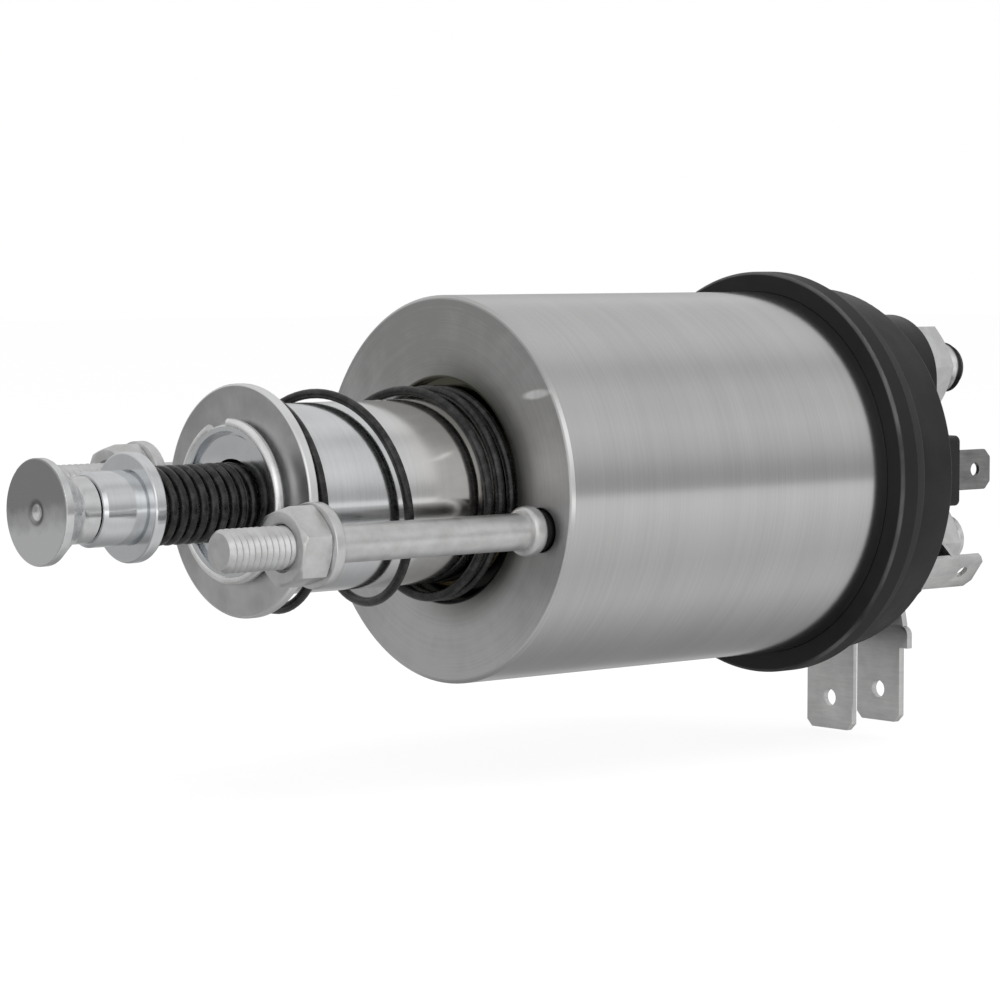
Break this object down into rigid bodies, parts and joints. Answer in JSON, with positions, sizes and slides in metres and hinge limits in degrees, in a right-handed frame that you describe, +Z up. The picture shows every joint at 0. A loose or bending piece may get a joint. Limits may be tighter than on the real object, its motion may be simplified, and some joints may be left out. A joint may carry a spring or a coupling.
{
  "type": "starter solenoid switch",
  "caption": "Starter solenoid switch: steel can, sprung plunger with lever hook, fixing studs, black cap with stud terminals and spade blades.",
  "frame": {"origin": "centre of the can's flat mounting face, on the plunger's axis", "axes": "+X along the solenoid from the lever hook to the terminals, +Z up, +Y to the left when looking along +X"},
  "size_m": [0.1696, 0.0632, 0.0744],
  "materials": {
    "can_steel": "satin, brushed round",
    "plated_steel": "bright zinc plate",
    "polished_steel": "polished",
    "black_spring_steel": "black satin",
    "spring_steel": "bright drawn",
    "core_iron": "machined",
    "brass_tube": "satin",
    "copper_wire": "enamelled copper wire",
    "contact_copper": "bare copper",
    "tinned_blade": "matt tin plate on brass",
    "cap_moulding": "satin moulded",
    "bobbin_moulding": "natural nylon",
    "insulator": "phenolic",
    "seal_rubber": "matt"
  },
  "bodies": {
    "solenoid_body": {"case": "can_steel", "mounting_stud_left": "plated_steel", "mounting_stud_right": "plated_steel", "mounting_nuts": "plated_steel", "mounting_lock_washers": "plated_steel", "guide_tube": "brass_tube", "coil_bobbin": "bobbin_moulding", "pull_in_winding": "copper_wire", "hold_in_winding": "copper_wire", "coil_leads": "copper_wire", "stop_core": "core_iron", "core_plate": "core_iron", "seal_ring": "seal_rubber", "terminal_cap": "cap_moulding", "cap_screws": "plated_steel", "motor_stud": "plated_steel", "battery_stud": "plated_steel", "motor_contact": "contact_copper", "battery_contact": "contact_copper", "terminal_lock_washers": "plated_steel", "motor_nut": "plated_steel", "battery_nut": "plated_steel", "solenoid_blade": "tinned_blade", "feed_blade": "tinned_blade", "twin_blade_plate": "tinned_blade", "return_spring": "black_spring_steel", "contact_return_spring": "spring_steel"},
    "plunger_set": {"plunger": "polished_steel", "rod_pin": "polished_steel", "spring_plate": "plated_steel", "snap_ring": "plated_steel", "hook_rod": "polished_steel", "lost_motion_spring": "black_spring_steel"},
    "collar_set": {"spring_collar": "polished_steel"},
    "contact_set": {"contact_rod": "polished_steel", "contact_clip": "spring_steel", "contact_pressure_spring": "spring_steel"},
    "bridge_set": {"contact_bridge": "contact_copper", "bridge_bush": "insulator", "bridge_washer": "insulator"}
  },
  "joints": [
    {"name": "plunger_slide", "type": "slide", "parent": "solenoid_body", "child": "plunger_set", "axis": [1, 0, 0], "range_m": [0, 0.012], "stiffness_N_per_m": 900, "springref_m": -0.012, "deforming": ["return_spring"]},
    {"name": "collar_slide", "type": "slide", "parent": "plunger_set", "child": "collar_set", "axis": [1, 0, 0], "range_m": [0, 0.005], "stiffness_N_per_m": 12000, "springref_m": -0.004, "deforming": ["lost_motion_spring"]},
    {"name": "contact_slide", "type": "slide", "parent": "solenoid_body", "child": "contact_set", "axis": [1, 0, 0], "range_m": [0, 0.003], "deforming": ["contact_return_spring"]},
    {"name": "bridge_overtravel", "type": "slide", "parent": "contact_set", "child": "bridge_set", "axis": [1, 0, 0], "range_m": [-0.00055, 0], "deforming": ["contact_pressure_spring"]}
  ],
  "couplings": [
    {"joint": "contact_slide", "follows": "plunger_slide", "ratio": 0.25},
    {"joint": "bridge_overtravel", "follows": "plunger_slide", "ratio": -0.045}
  ]
}
